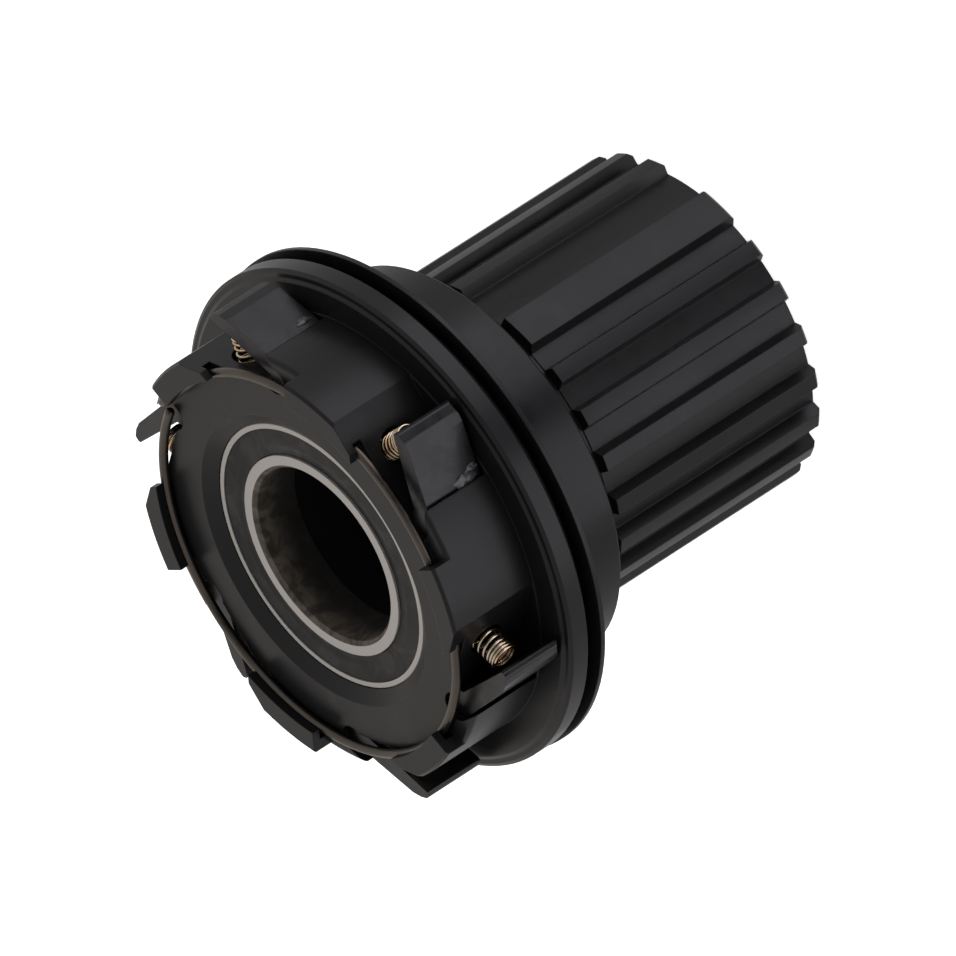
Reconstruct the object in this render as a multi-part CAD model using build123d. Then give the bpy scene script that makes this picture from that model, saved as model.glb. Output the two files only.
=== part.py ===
from build123d import *
import math
import os

# A freehub body: the driver that carries a bicycle cassette and drives the rear hub
# through six sprung pawls. Millimetres. +Z is the axle's line, from the outboard end,
# where the cassette goes on, to the nose, where the pawls are. The origin is the centre
# of the outboard end face. Seen from the nose, angles grow anticlockwise from +X.

# Lengths along the axle, from the outboard end up.
SPLINE_LENGTH = 23.9
RELIEF_LENGTH = 2.55
COLLAR_LENGTH = 7.05
REAR_RIM_THICKNESS = 0.45
SEAL_GAP = 1.2
DISC_THICKNESS = 1.93
FACE_STEP = 0.42
NOSE_LENGTH = 7.5
LUG_HEIGHT = 1.74

# Radii of the turned body.
RELIEF_RADIUS = 15.0
COLLAR_RADIUS = 19.18
REAR_RIM_RADIUS = 24.55
SEAL_GAP_RADIUS = 21.5
DISC_RADIUS = 24.4
NOSE_RADIUS = 20.8
EDGE_CHAMFER = 0.25

# The flange face round the nose: a bevel down to a narrow step, then the rim's bevel.
FACE_RADIUS = 23.27
FACE_BEVEL_WIDTH = 0.35
FACE_BEVEL_DROP = 0.2
RIM_BEVEL_WIDTH = 0.35

# Splines: equal ridges round the body, one of them wide and the next one left out.
SPLINE_PITCHES = 23
SPLINE_RADIUS = 16.3
SPLINE_ROOT_RADIUS = 15.1
RIDGE_ANGLE = 5.3
RIDGE_FLARE_ANGLE = 1.3
FIRST_RIDGE_AT = -82.4
WIDE_LAND_ANGLE = 12.5
WIDE_LAND_EDGE_AT = -70.1
END_CHAMFER = 0.4

# Lugs: they stand on the nose between the pawl pockets and hold the wire ring.
PAWL_COUNT = 6
FIRST_PAWL_AT = -60.0
LUG_INNER_RADIUS = 18.5
LUG_SHOULDER_RADIUS = 19.5
GAP_START_ANGLE = 12.6
GAP_END_ANGLE = 45.8
LUG_SLANT_ANGLE = 2.2
NOSE_ROUND = 0.45
ROUND_STEPS = 6
GAP_CUT_MARGIN = 1.0
GAP_SLANT_SETBACK = 0.4
RING_GROOVE_RADIUS = 19.6
RING_GROOVE_WIDTH = 0.95
RING_WIRE = 0.86
RING_MEAN_RADIUS = 18.65
RING_END_AT = 19.0
RING_STRAIGHT_AT = 0.4
RING_STRAIGHT_LENGTH = 6.6

# Pawl, in its own frame: x points outwards, y from the heel to the tip.
PIVOT_X = 17.2
PIVOT_Y = 7.3
HEEL_RADIUS = 1.3
PAWL_REACH = 8.75
PAWL_TIP_DROP = 0.44
PAWL_TIP_THICKNESS = 0.7
PAWL_CREST_HEIGHT = 0.68
PAWL_CREST_WIDTH = 0.8
PAWL_SHOULDER_RUN = 1.0
PAWL_SHOULDER_DROP = 0.3
PAWL_BACK_DROP = 0.25
PAWL_TIP_ROUND = 0.3
PAWL_CREST_ROUND = 0.6
PAWL_NECK_DROP = 0.75
PAWL_LENGTH = 6.2
PAWL_BACK_GAP = 0.4
PAWL_FRONT_SINK = 0.75
PAWL_CORNER = 0.4
SOCKET_CLEARANCE = 0.1
ROOF_ANGLE = 6.0
POCKET_FLOOR_ANGLE = 24.0
POCKET_FLOOR_DROP = 0.98

# Pawl spring: a small coil in a blind hole, pressing up under the pawl.
SPRING_DIAMETER = 3.0
SPRING_WIRE = 0.3
SPRING_TURNS = 9.5
SPRING_LENGTH = 6.0
SPRING_ANGLE = 28.2
SPRING_SETBACK = 1.8
SPRING_ABOVE_MIDDLE = 0.95
SPRING_HOLE_CLEARANCE = 0.12
SPRING_TOUCH_GAP = 0.05
SPRING_HOLE_RUN = 2.0

# Bearings: the inboard one in the nose, the smaller outboard one behind the thread.
BEARING_WIDTH = 5.0
BEARING_RECESS = 0.9
INBOARD_BORE_RADIUS = 8.5
INBOARD_OUTER_RADIUS = 13.0
OUTBOARD_BORE_RADIUS = 7.5
OUTBOARD_OUTER_RADIUS = 12.0
BALL_RADIUS = 1.19
INBOARD_BALLS = 15
OUTBOARD_BALLS = 13
RACE_CLEARANCE = 0.05
RING_SHOULDER_DEPTH = 0.95
OUTER_RING_WALL = 0.55
RING_CHAMFER = 0.1
BORE_CHAMFER = 0.35
SEAL_SEAT_DEPTH = 0.7
SEAL_RECESS = 0.1
SEAL_THICKNESS = 0.5
SEAL_LIP_GAP = 0.06
CAGE_WALL = 0.9
CAGE_WIDTH = 3.0
CAGE_POCKET_CLEARANCE = 0.08
SEAT_GAP = 0.01
SEAT_MOUTH_FLARE = 1.3
SEAT_MOUTH_DEPTH = 0.85

# Outboard end: lockring thread, circlip and the spacer between the inner rings.
THREAD_RADIUS = 13.0
THREAD_LENGTH = 8.0
THREAD_WALL_RING = 0.8
CIRCLIP_THICKNESS = 1.0
CIRCLIP_GROOVE_DEPTH = 0.6
CIRCLIP_BAND = 1.3
CIRCLIP_EAR_RADIUS = 1.3
CIRCLIP_EYE_RADIUS = 0.6
CIRCLIP_OPEN_ANGLE = 32.0
CIRCLIP_PLAY = 0.05
SHOULDER_BORE_RADIUS = 10.8
SPACER_WALL = 0.75
SPACER_BORE_CLEARANCE = 0.35
SPACER_NECK_LENGTH = 3.0
SPACER_NECK_WALL = 0.75
SPACER_STEP_LENGTH = 1.0

# Rubber ring in the gap between the flange's two rims.
FLANGE_SEAL_HEIGHT = 1.5
FLANGE_SEAL_SIDE_GAP = 0.06

# Heights worked out from the lengths above.
Z_RELIEF = SPLINE_LENGTH
Z_COLLAR = Z_RELIEF + RELIEF_LENGTH
Z_REAR_RIM = Z_COLLAR + COLLAR_LENGTH
Z_SEAL_GAP = Z_REAR_RIM + REAR_RIM_THICKNESS
Z_DISC = Z_SEAL_GAP + SEAL_GAP
Z_RIM_EDGE = Z_DISC + DISC_THICKNESS
Z_FLANGE = Z_RIM_EDGE + FACE_STEP
Z_CORE = Z_FLANGE + NOSE_LENGTH
Z_TOP = Z_CORE + LUG_HEIGHT
Z_INBOARD = Z_CORE - BEARING_RECESS - BEARING_WIDTH
Z_CIRCLIP = THREAD_LENGTH + THREAD_WALL_RING
Z_OUTBOARD = Z_CIRCLIP + CIRCLIP_THICKNESS + 2 * CIRCLIP_PLAY
Z_PAWL_TOP = Z_CORE - PAWL_FRONT_SINK
Z_PAWL_BACK = Z_PAWL_TOP - PAWL_LENGTH
Z_POCKET = Z_PAWL_BACK - PAWL_BACK_GAP
Z_SPRING = (Z_PAWL_TOP + Z_PAWL_BACK) / 2 + SPRING_ABOVE_MIDDLE
CLEAR = 5.0


def polar(radius, angle):
    """The point at this radius and angle, in degrees."""
    return (radius * math.cos(math.radians(angle)), radius * math.sin(math.radians(angle)))


def turned(points, start=0.0, sweep_angle=360.0):
    """A closed outline of (radius, height) points, turned round the axle's line."""
    face = Plane.XZ * make_face(Polyline(*points, close=True))
    return Rot(0, 0, start) * revolve(face, Axis.Z, sweep_angle)


def tube(outer, inner, z0, z1):
    """A plain ring from z0 to z1."""
    return turned([(inner, z0), (outer, z0), (outer, z1), (inner, z1)])


def outline(points):
    """A flat face through the points."""
    return make_face(Polyline(*points, close=True))


def prism(section, z0, z1):
    """A flat section raised from z0 to z1."""
    return Pos(0, 0, z0) * extrude(section, z1 - z0)


# ---------------------------------------------------------------- body


def body_outside():
    """The turned outside, from the spline's root to the lugs' tops, as a solid bar."""
    c = EDGE_CHAMFER
    z_step = Z_FLANGE - FACE_BEVEL_DROP
    points = [
        (0, 0),
        (SPLINE_ROOT_RADIUS, 0),
        (SPLINE_ROOT_RADIUS, Z_RELIEF),
        (RELIEF_RADIUS, Z_RELIEF),
        (RELIEF_RADIUS, Z_COLLAR),
        (COLLAR_RADIUS - c, Z_COLLAR),
        (COLLAR_RADIUS, Z_COLLAR + c),
        (COLLAR_RADIUS, Z_REAR_RIM),
        (REAR_RIM_RADIUS, Z_REAR_RIM),
        (REAR_RIM_RADIUS, Z_SEAL_GAP),
        (SEAL_GAP_RADIUS, Z_SEAL_GAP),
        (SEAL_GAP_RADIUS, Z_DISC),
        (DISC_RADIUS - c, Z_DISC),
        (DISC_RADIUS, Z_DISC + c),
        (DISC_RADIUS, Z_RIM_EDGE),
        (DISC_RADIUS - RIM_BEVEL_WIDTH, z_step),
        (FACE_RADIUS + FACE_BEVEL_WIDTH, z_step),
        (FACE_RADIUS, Z_FLANGE),
        (NOSE_RADIUS, Z_FLANGE),
        (NOSE_RADIUS, Z_TOP - c),
        (NOSE_RADIUS - c, Z_TOP),
        (0, Z_TOP),
    ]
    return turned(points)


def body_inside():
    """Everything the lathe takes out of the middle: thread, seats, bore and front recess."""
    mouth = THREAD_RADIUS + END_CHAMFER
    seat = INBOARD_OUTER_RADIUS
    z_seat = Z_INBOARD
    z_shoulder = Z_OUTBOARD + BEARING_WIDTH
    groove = OUTBOARD_OUTER_RADIUS + CIRCLIP_GROOVE_DEPTH
    groove_top = Z_CIRCLIP + CIRCLIP_THICKNESS + CIRCLIP_PLAY
    points = [
        (0, -CLEAR),
        (mouth, -CLEAR),
        (mouth, 0),
        (THREAD_RADIUS, END_CHAMFER),
        (THREAD_RADIUS, THREAD_LENGTH),
        (OUTBOARD_OUTER_RADIUS, THREAD_LENGTH),
        (OUTBOARD_OUTER_RADIUS, Z_CIRCLIP - CIRCLIP_PLAY),
        (groove, Z_CIRCLIP - CIRCLIP_PLAY),
        (groove, groove_top),
        (OUTBOARD_OUTER_RADIUS, groove_top),
        (OUTBOARD_OUTER_RADIUS, z_shoulder),
        (SHOULDER_BORE_RADIUS, z_shoulder),
        (SHOULDER_BORE_RADIUS, z_seat),
        (seat, z_seat),
        (seat, Z_CORE - SEAT_MOUTH_DEPTH),
        (seat + SEAT_MOUTH_FLARE, Z_CORE),
        (LUG_INNER_RADIUS, Z_CORE),
        (RING_GROOVE_RADIUS, Z_CORE),
        (RING_GROOVE_RADIUS, Z_CORE + RING_GROOVE_WIDTH),
        (LUG_INNER_RADIUS, Z_CORE + RING_GROOVE_WIDTH),
        (LUG_INNER_RADIUS, Z_TOP + CLEAR),
        (0, Z_TOP + CLEAR),
    ]
    return turned(points)


def ridge(middle, width):
    """One spline ridge as a flat outline: near-radial sides that flare at the foot."""
    inside = SPLINE_ROOT_RADIUS - END_CHAMFER
    top = SPLINE_RADIUS + END_CHAMFER
    flare = RIDGE_FLARE_ANGLE
    points = [
        polar(inside, middle - width / 2 - flare),
        polar(SPLINE_ROOT_RADIUS, middle - width / 2 - flare),
        polar(SPLINE_RADIUS, middle - width / 2),
        polar(top, middle - width / 2),
        polar(top, middle + width / 2),
        polar(SPLINE_RADIUS, middle + width / 2),
        polar(SPLINE_ROOT_RADIUS, middle + width / 2 + flare),
        polar(inside, middle + width / 2 + flare),
    ]
    return outline(points)


def splines():
    """The ridges, trimmed to the spline's outer radius with a chamfer at the outboard end."""
    pitch = 360 / SPLINE_PITCHES
    ridges = ridge(WIDE_LAND_EDGE_AT + WIDE_LAND_ANGLE / 2, WIDE_LAND_ANGLE)
    for index in range(SPLINE_PITCHES - 2):
        ridges += ridge(FIRST_RIDGE_AT - index * pitch, RIDGE_ANGLE)
    envelope = [
        (0, 0),
        (SPLINE_RADIUS - END_CHAMFER, 0),
        (SPLINE_RADIUS, END_CHAMFER),
        (SPLINE_RADIUS, Z_RELIEF),
        (0, Z_RELIEF),
    ]
    return prism(ridges, 0, Z_RELIEF) & turned(envelope)


def pocket():
    """One pawl pocket in the pawl's frame: heel socket, floor flat and the open way out."""
    socket = HEEL_RADIUS + SOCKET_CLEARANCE
    out = polar(1, POCKET_FLOOR_ANGLE)
    along = polar(1, POCKET_FLOOR_ANGLE + 90)
    foot = (PIVOT_X - out[0] * POCKET_FLOOR_DROP, PIVOT_Y - out[1] * POCKET_FLOOR_DROP)
    far = NOSE_RADIUS
    floor_end = (foot[0] + along[0] * far, foot[1] + along[1] * far)
    roof = polar(far, 90 - ROOF_ANGLE)
    opening = outline([
        (PIVOT_X, PIVOT_Y),
        foot,
        floor_end,
        (floor_end[0] + out[0] * far, floor_end[1] + out[1] * far),
        (PIVOT_X + socket + roof[0], PIVOT_Y + roof[1]),
        (PIVOT_X + socket, PIVOT_Y),
    ])
    section = opening + Pos(PIVOT_X, PIVOT_Y) * Circle(socket)
    return prism(section, Z_POCKET, Z_TOP + CLEAR)


def lug_gap():
    """The gap between two lugs, in the pawl's frame, with the nose's edge rounded below it."""
    margin = GAP_CUT_MARGIN
    inside = LUG_INNER_RADIUS - margin
    outside = NOSE_RADIUS + margin
    z1 = Z_TOP + margin
    profile = [(inside, Z_CORE)]
    for step in range(ROUND_STEPS + 1):
        r, z = polar(NOSE_ROUND, 90 - step * 90 / ROUND_STEPS)
        profile.append((NOSE_RADIUS - NOSE_ROUND + r, Z_CORE - NOSE_ROUND + z))
    profile += [(outside, Z_CORE - NOSE_ROUND), (outside, z1), (inside, z1)]
    gap = turned(profile, GAP_START_ANGLE, GAP_END_ANGLE - GAP_START_ANGLE)
    wedge = outline([
        polar(inside, GAP_END_ANGLE - LUG_SLANT_ANGLE),
        polar(LUG_INNER_RADIUS - GAP_SLANT_SETBACK, GAP_END_ANGLE),
        polar(LUG_SHOULDER_RADIUS, GAP_END_ANGLE + LUG_SLANT_ANGLE),
        polar(outside, GAP_END_ANGLE + LUG_SLANT_ANGLE),
        polar(outside, GAP_END_ANGLE - LUG_SLANT_ANGLE),
    ])
    return gap + prism(wedge, Z_CORE, z1)


def spring_frame():
    """Where a pawl spring stands in the pawl's frame: its seat plane, z along the coil."""
    tilt = math.radians(SPRING_ANGLE)
    y = PIVOT_Y + PAWL_REACH - SPRING_SETBACK
    coil_radius = SPRING_DIAMETER / 2
    touch = underside(y - coil_radius * math.cos(tilt)) - SPRING_TOUCH_GAP
    x = touch - coil_radius * math.sin(tilt)
    along = polar(1, SPRING_ANGLE)
    seat = (x - along[0] * SPRING_LENGTH, y - along[1] * SPRING_LENGTH, Z_SPRING)
    return Plane(origin=seat, x_dir=(0, 0, 1), z_dir=(along[0], along[1], 0))


def spring_hole():
    """The blind hole that a pawl spring stands in."""
    radius = SPRING_DIAMETER / 2 + SPRING_HOLE_CLEARANCE
    depth = SPRING_LENGTH + SPRING_HOLE_RUN
    hole = Cylinder(radius, depth, align=(Align.CENTER, Align.CENTER, Align.MIN))
    return spring_frame() * hole


def freehub_shell():
    """The body: turned bar, splines and bores, then a pocket, gap and hole for each pawl."""
    shell = body_outside() + splines() - body_inside()
    cuts = pocket() + lug_gap() + spring_hole()
    for place in pawl_places():
        shell -= place * cuts
    return shell


# ---------------------------------------------------------------- pawls


def pawl_places():
    """The turn about the axle's line that puts each pawl in its place."""
    pitch = 360 / PAWL_COUNT
    return [Rot(0, 0, FIRST_PAWL_AT - index * pitch) for index in range(PAWL_COUNT)]


def underside(y):
    """How far out the pawl's underside lies at this distance along the pawl."""
    neck = PIVOT_X - PAWL_NECK_DROP
    tip = PIVOT_X - PAWL_TIP_DROP
    share = (y - PIVOT_Y) / PAWL_REACH
    return neck + (tip - neck) * share


def pawl():
    """One pawl in its frame: a round heel and a plate that ends in a rounded driving tip."""
    y_tip = PIVOT_Y + PAWL_REACH
    y_crest = y_tip - PAWL_CREST_WIDTH
    x_face = PIVOT_X - PAWL_TIP_DROP + PAWL_TIP_THICKNESS
    x_crest = x_face + PAWL_CREST_HEIGHT
    x_heel = PIVOT_X + HEEL_RADIUS
    x_back = x_heel - PAWL_BACK_DROP
    plate = outline([
        (PIVOT_X - PAWL_NECK_DROP, PIVOT_Y),
        (x_heel, PIVOT_Y),
        (x_back, y_crest - PAWL_SHOULDER_RUN),
        (x_back - PAWL_SHOULDER_DROP, y_crest),
        (x_face, y_tip),
        (PIVOT_X - PAWL_TIP_DROP, y_tip),
    ])
    plate = fillet(plate.vertices().group_by(Axis.Y)[-2], PAWL_CREST_ROUND)
    plate = fillet(plate.vertices().group_by(Axis.Y)[-1], PAWL_TIP_ROUND)
    section = plate + Pos(PIVOT_X, PIVOT_Y) * Circle(HEEL_RADIUS)
    bar = prism(section, Z_PAWL_BACK, Z_PAWL_TOP)
    tip_radius = math.hypot(x_crest, y_tip)
    c = PAWL_CORNER
    envelope = turned([
        (0, Z_PAWL_BACK),
        (tip_radius - 2 * c, Z_PAWL_BACK),
        (tip_radius, Z_PAWL_BACK + 2 * c),
        (tip_radius, Z_PAWL_TOP - c),
        (tip_radius - c, Z_PAWL_TOP),
        (0, Z_PAWL_TOP),
    ])
    return bar & envelope


def pawl_spring():
    """One coil spring in its seat frame, from the hole's bottom to the pawl's underside."""
    coil_radius = (SPRING_DIAMETER - SPRING_WIRE) / 2
    run = SPRING_LENGTH - SPRING_WIRE
    path = Helix(pitch=run / SPRING_TURNS, height=run, radius=coil_radius)
    section = Plane(origin=path @ 0, z_dir=path % 0) * Circle(SPRING_WIRE / 2)
    coil = sweep(section, path=path)
    return spring_frame() * Pos(0, 0, SPRING_WIRE / 2) * coil


def pawl_ring():
    """The split wire ring that keeps the pawls in: one end stays straight and runs past."""
    height = Z_CORE + RING_GROOVE_WIDTH / 2
    section = Plane.XZ * Pos(RING_MEAN_RADIUS, height) * Circle(RING_WIRE / 2)
    turn = revolve(section, Axis.Z, 360 - (RING_END_AT - RING_STRAIGHT_AT))
    base = (Align.CENTER, Align.CENTER, Align.MIN)
    rod = Cylinder(RING_WIRE / 2, RING_STRAIGHT_LENGTH, align=base)
    straight = Pos(RING_MEAN_RADIUS, 0, height) * Rot(-90, 0, 0) * rod
    return Rot(0, 0, RING_END_AT) * turn + Rot(0, 0, RING_STRAIGHT_AT) * straight


# ---------------------------------------------------------------- bearings


def race(pitch_radius, z_middle):
    """The ring-shaped room that the balls run in."""
    torus = Torus(pitch_radius, BALL_RADIUS + RACE_CLEARANCE)
    return Pos(0, 0, z_middle) * torus


def outer_ring(bore, outside, z0):
    """A bearing's outer ring: seal seats at both faces and the race between its shoulders."""
    pitch_radius = (bore + outside) / 2
    shoulder = pitch_radius + RING_SHOULDER_DEPTH
    seat = outside - OUTER_RING_WALL
    z1 = z0 + BEARING_WIDTH
    radius = outside - SEAT_GAP
    c = RING_CHAMFER
    ring = turned([
        (seat, z0),
        (radius - c, z0),
        (radius, z0 + c),
        (radius, z1 - c),
        (radius - c, z1),
        (seat, z1),
        (seat, z1 - SEAL_SEAT_DEPTH),
        (shoulder, z1 - SEAL_SEAT_DEPTH),
        (shoulder, z0 + SEAL_SEAT_DEPTH),
        (seat, z0 + SEAL_SEAT_DEPTH),
    ])
    return ring - race(pitch_radius, (z0 + z1) / 2)


def inner_ring(bore, outside, z0):
    """A bearing's inner ring, with chamfered bore edges and the race round its waist."""
    pitch_radius = (bore + outside) / 2
    shoulder = pitch_radius - RING_SHOULDER_DEPTH
    z1 = z0 + BEARING_WIDTH
    c = BORE_CHAMFER
    ring = turned([
        (bore, z0 + c),
        (bore + c, z0),
        (shoulder, z0),
        (shoulder, z1),
        (bore + c, z1),
        (bore, z1 - c),
    ])
    return ring - race(pitch_radius, (z0 + z1) / 2)


def seal(bore, outside, z0):
    """A bearing's seal ring: a thin disc with a bead at its inner lip, front face up."""
    pitch_radius = (bore + outside) / 2
    lip = pitch_radius - RING_SHOULDER_DEPTH + SEAL_LIP_GAP
    seat = outside - OUTER_RING_WALL - SEAT_GAP
    bead = SEAL_THICKNESS
    z1 = z0 + SEAL_THICKNESS
    return turned([
        (lip, z0 - SEAL_RECESS),
        (lip + bead, z0),
        (seat, z0),
        (seat, z1),
        (lip + 2 * bead, z1),
        (lip + bead, z1 - SEAL_RECESS),
        (lip, z1 - SEAL_RECESS),
    ])


def front_seal(bore, outside, z0):
    """The seal at a bearing's upper face."""
    return seal(bore, outside, z0 + BEARING_WIDTH - SEAL_RECESS - SEAL_THICKNESS)


def rear_seal(bore, outside, z0):
    """The seal at a bearing's lower face: the upper one turned over."""
    middle = Plane.XY.offset(z0 + BEARING_WIDTH / 2)
    return mirror(front_seal(bore, outside, z0), about=middle)


def ball_centres(pitch_radius, count, z0):
    """Where a bearing's balls sit."""
    z = z0 + BEARING_WIDTH / 2
    return [Pos(*polar(pitch_radius, index * 360 / count), z) for index in range(count)]


def balls(bore, outside, z0, count):
    """A bearing's balls, each a solid of its own."""
    centres = ball_centres((bore + outside) / 2, count, z0)
    return Compound(children=[centre * Sphere(BALL_RADIUS) for centre in centres])


def cage(bore, outside, z0, count):
    """The ring that spaces the balls, with a round pocket for each."""
    pitch_radius = (bore + outside) / 2
    z = z0 + BEARING_WIDTH / 2
    inner = pitch_radius - CAGE_WALL / 2
    band = tube(inner + CAGE_WALL, inner, z - CAGE_WIDTH / 2, z + CAGE_WIDTH / 2)
    drill = Rot(0, 90, 0) * Cylinder(BALL_RADIUS + CAGE_POCKET_CLEARANCE, 2 * CAGE_WALL)
    for index in range(count):
        band -= Rot(0, 0, index * 360 / count) * Pos(pitch_radius, 0, z) * drill
    return band


# ---------------------------------------------------------------- small parts


def axle_spacer():
    """The sleeve between the two inner rings, necked down at its outboard end."""
    bore = INBOARD_BORE_RADIUS + SPACER_BORE_CLEARANCE
    neck_bore = OUTBOARD_BORE_RADIUS + SPACER_BORE_CLEARANCE
    z0 = Z_OUTBOARD + BEARING_WIDTH
    z_neck = z0 + SPACER_NECK_LENGTH
    return turned([
        (neck_bore, z0),
        (neck_bore + SPACER_NECK_WALL, z0),
        (neck_bore + SPACER_NECK_WALL, z_neck),
        (bore + SPACER_WALL, z_neck + SPACER_STEP_LENGTH),
        (bore + SPACER_WALL, Z_INBOARD),
        (bore, Z_INBOARD),
        (bore, z_neck + SPACER_STEP_LENGTH),
        (neck_bore, z_neck),
    ])


def circlip():
    """The inside circlip that holds the outboard bearing in, with its two eared ends."""
    outside = OUTBOARD_OUTER_RADIUS + CIRCLIP_GROOVE_DEPTH - CIRCLIP_PLAY
    inside = outside - CIRCLIP_BAND
    z1 = Z_CIRCLIP + CIRCLIP_THICKNESS
    half = CIRCLIP_OPEN_ANGLE / 2
    profile = [(inside, Z_CIRCLIP), (outside, Z_CIRCLIP), (outside, z1), (inside, z1)]
    clip = turned(profile, half, 360 - CIRCLIP_OPEN_ANGLE)
    for side in (half, -half):
        ear_at = polar(outside - CIRCLIP_EAR_RADIUS - CIRCLIP_GROOVE_DEPTH, side)
        clip += prism(Pos(*ear_at) * Circle(CIRCLIP_EAR_RADIUS), Z_CIRCLIP, z1)
        clip -= prism(Pos(*ear_at) * Circle(CIRCLIP_EYE_RADIUS), Z_CIRCLIP - CLEAR, z1 + CLEAR)
    return clip


def flange_seal():
    """The rubber ring that sits in the gap between the flange's rims."""
    z0 = Z_SEAL_GAP + FLANGE_SEAL_SIDE_GAP
    z1 = Z_DISC - FLANGE_SEAL_SIDE_GAP
    crown = (z1 - z0) / 3
    top = SEAL_GAP_RADIUS + FLANGE_SEAL_HEIGHT
    inside = SEAL_GAP_RADIUS + SEAT_GAP
    return turned([
        (inside, z0),
        (top - crown, z0),
        (top, z0 + crown),
        (top, z1 - crown),
        (top - crown, z1),
        (inside, z1),
    ])


def save(node, shape):
    """Write one node's STEP file."""
    export_step(shape, "parts/" + node + ".step")


def main():
    os.makedirs("parts", exist_ok=True)
    save("freehub_shell", freehub_shell())
    save("pawl_ring", pawl_ring())
    save("flange_seal", flange_seal())
    save("outboard_circlip", circlip())
    save("axle_spacer", axle_spacer())
    one_pawl = pawl()
    one_spring = pawl_spring()
    for number, place in enumerate(pawl_places(), start=1):
        save(f"pawl_{number}", place * one_pawl)
        save(f"pawl_spring_{number}", place * one_spring)
    inboard = (INBOARD_BORE_RADIUS, INBOARD_OUTER_RADIUS, Z_INBOARD)
    outboard = (OUTBOARD_BORE_RADIUS, OUTBOARD_OUTER_RADIUS, Z_OUTBOARD)
    for side, sizes, count in (
        ("inboard", inboard, INBOARD_BALLS),
        ("outboard", outboard, OUTBOARD_BALLS),
    ):
        save(side + "_outer_ring", outer_ring(*sizes))
        save(side + "_inner_ring", inner_ring(*sizes))
        save(side + "_front_seal", front_seal(*sizes))
        save(side + "_rear_seal", rear_seal(*sizes))
        save(side + "_balls", balls(*sizes, count))
        save(side + "_cage", cage(*sizes, count))


main()
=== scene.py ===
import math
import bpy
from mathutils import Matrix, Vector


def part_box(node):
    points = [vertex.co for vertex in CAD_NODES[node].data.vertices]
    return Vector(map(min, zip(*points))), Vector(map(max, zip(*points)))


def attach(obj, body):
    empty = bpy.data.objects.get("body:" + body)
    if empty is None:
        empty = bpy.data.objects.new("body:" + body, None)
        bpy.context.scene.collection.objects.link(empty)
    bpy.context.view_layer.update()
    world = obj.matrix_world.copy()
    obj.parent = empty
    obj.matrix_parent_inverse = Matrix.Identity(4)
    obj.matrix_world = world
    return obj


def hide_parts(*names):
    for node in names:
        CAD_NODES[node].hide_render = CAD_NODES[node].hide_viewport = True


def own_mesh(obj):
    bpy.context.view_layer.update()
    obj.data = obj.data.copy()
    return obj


bl_info = {
    "name": "Freehub Body",
    "version": (1, 0, 0),
    "blender": (4, 5, 0),
    "location": "3D View > Sidebar > Freehub",
    "description": "Springs, wire ring, thread, grease and finishes for a freehub body",
    "category": "Object",
}

import bpy
import numpy as np
from bpy.props import FloatProperty, FloatVectorProperty, PointerProperty
from bpy.types import Operator, Panel, PropertyGroup
from mathutils import Matrix, Vector

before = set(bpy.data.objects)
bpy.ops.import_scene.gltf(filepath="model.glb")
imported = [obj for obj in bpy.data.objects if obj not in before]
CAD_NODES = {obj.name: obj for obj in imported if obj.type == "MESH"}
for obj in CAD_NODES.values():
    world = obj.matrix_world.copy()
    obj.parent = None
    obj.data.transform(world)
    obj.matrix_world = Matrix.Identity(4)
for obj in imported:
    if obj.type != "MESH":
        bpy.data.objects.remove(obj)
MM = 0.001
TAU = 2 * math.pi
PAWLS = 6
FIRST_PAWL_ANGLE = math.radians(-60)
UP = (0.0, 0.0, 1.0)

# Shapes. Steps say how finely a path is cut.
END_ROUND = 0.3
COIL_SIDES = 12
COIL_STEPS_PER_TURN = 32
COIL_TIGHT_PITCH = 1.04
COIL_OPENS_AT = 0.55
COIL_OPENS_OVER = 0.7
RING_SIDES = 20
RING_CIRCLE_STEPS = 420
RING_STRAIGHT_STEPS = 24
THREAD_STEPS_PER_TURN = 90
THREAD_FADES = 3
THREAD_THINNEST = 0.02
THREAD_FILL = 0.92
DAB_ROUND_STEPS = 40
DAB_RISE_STEPS = 22
DAB_WIDTH = 0.5
DAB_TIP_ANGLE = 0.04
DAB_SEED_STEP = 1.7

# Levels of the noises that the finishes read.
TONE_LOW = 0.3
TONE_HIGH = 0.7
EDGE_FLAT = 0.995
EDGE_SHARP = 0.80
OIL_SOFTNESS = 0.09
# How open a surface must be before the painted shade of corners and recesses is gone.
CREVICE_SHADE_OPEN = 0.5
BORE_SOFTNESS = 0.1

# The stain and the painted shade in the bearing's bore: heights in metres, then shares.
# Between these two heights the painted shade deep in the bore fades out towards the face.
BORE_SHADE_DARK_HEIGHT = 0.0405
BORE_SHADE_CLEAR_HEIGHT = 0.0438
STAIN_FACING = 0.66
BORE_SHADE_KEEPS = 0.12
STAIN_DULLS = 0.12
STAIN_HIDES_METAL = 0.7

# The surround's dark gap, as shares of the view's direction to the side.
GAP_CENTRE = 0.1
GAP_DARK_TO = 0.12
GAP_GONE_AT = 0.3
GAP_DEPTH = 0.97

# The camera, the lamps and the floor.
SENSOR_WIDTH = 36
CLIP_NEAR = 0.1
CLIP_FAR = 100
SIDE_LAMP_SHARE = 0.92
FLOOR_HALF = 6.0
FLOOR_WHITE = 0.9
FLOOR_GLOW = 0.86


# ------------------------------------------------------------------ properties


def length(name, description, default):
    """A length in millimetres, kept in metres."""
    return FloatProperty(
        name=name,
        description=description,
        default=default * MM,
        min=0.0,
        precision=6,
        subtype="DISTANCE",
        unit="LENGTH",
    )


def angle(name, description, default):
    """An angle given in degrees, kept in radians."""
    return FloatProperty(
        name=name, description=description, default=math.radians(default), subtype="ANGLE", unit="ROTATION"
    )


def number(name, description, default, low=0.0, high=100.0):
    """A plain number."""
    return FloatProperty(name=name, description=description, default=default, min=low, max=high)


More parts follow.
